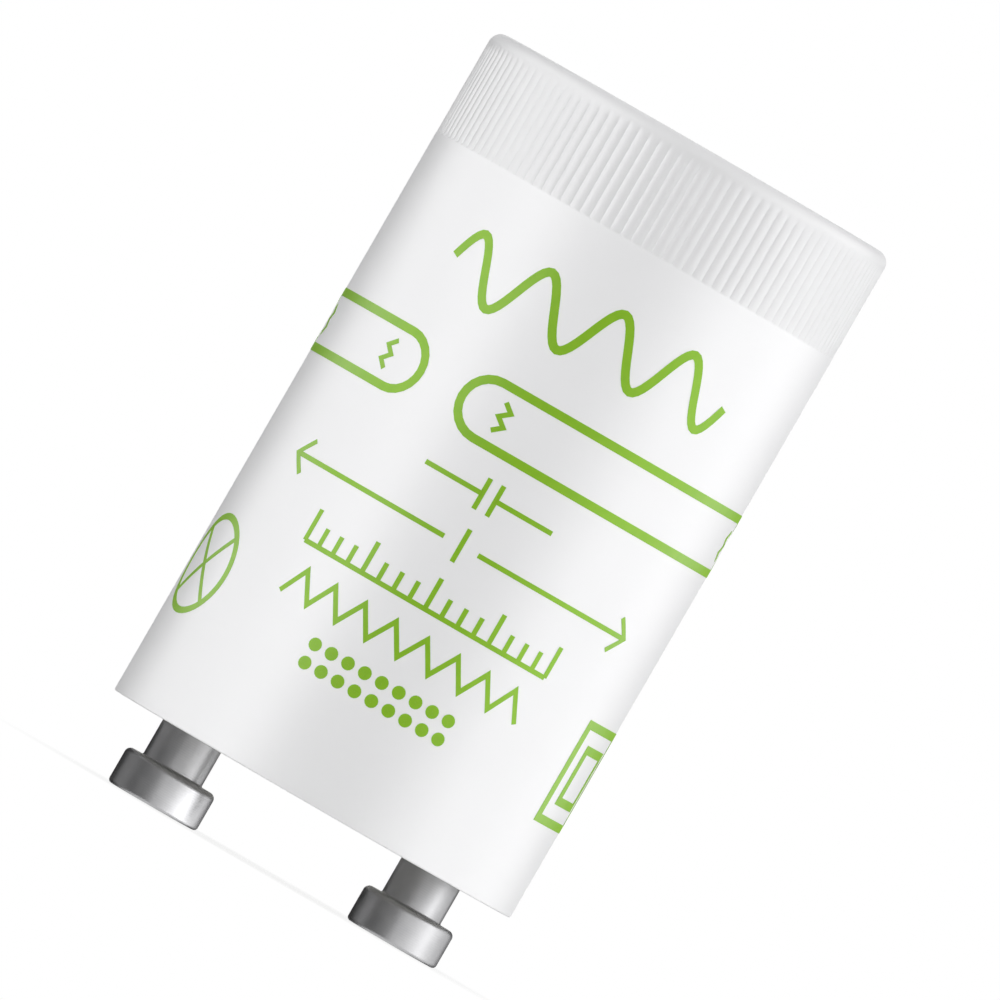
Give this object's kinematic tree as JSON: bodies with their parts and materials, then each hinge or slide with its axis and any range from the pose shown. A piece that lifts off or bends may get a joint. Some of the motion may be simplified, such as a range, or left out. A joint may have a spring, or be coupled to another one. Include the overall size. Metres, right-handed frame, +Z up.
{
  "type": "fluorescent lamp starter",
  "caption": "Round plastic glow starter with a fluted grip at the closed end and headed contact pins at the other; a glow switch and a film capacitor are inside.",
  "frame": {"origin": "on the canister's axis, in the plane of the pins' free ends, on which the starter stands", "axes": "+Z up the canister's axis to its closed top, +X through the two pins, -Y towards the printed side"},
  "size_m": [0.021, 0.021, 0.0389],
  "materials": {
    "canister_plastic": null,
    "base_plastic": "matt off-white",
    "pin_metal": "turned, satin",
    "lamp_glass": "clear",
    "electrode_metal": "drawn nickel wire",
    "bimetal": "rolled strip",
    "copper_wire": "copper-clad wire",
    "winding_film": "wound film",
    "wrap_tape": "yellow tape",
    "sprayed_metal": "rough sprayed zinc",
    "tinned_wire": "tinned",
    "solder": "bright solder"
  },
  "bodies": {
    "root": {"canister": "canister_plastic", "base_plate": "base_plastic", "pin_left": "pin_metal", "pin_right": "pin_metal", "glass_envelope": "lamp_glass", "glass_stem": "lamp_glass", "fixed_electrode": "electrode_metal", "bimetal_post": "electrode_metal", "bimetal_strip": "bimetal", "lamp_lead_left": "copper_wire", "lamp_lead_right": "copper_wire", "capacitor_winding": "winding_film", "capacitor_wrap": "wrap_tape", "capacitor_end_left": "sprayed_metal", "capacitor_end_right": "sprayed_metal", "capacitor_lead_left": "tinned_wire", "capacitor_lead_right": "tinned_wire", "solder_left": "solder", "solder_right": "solder"}
  },
  "joints": []
}
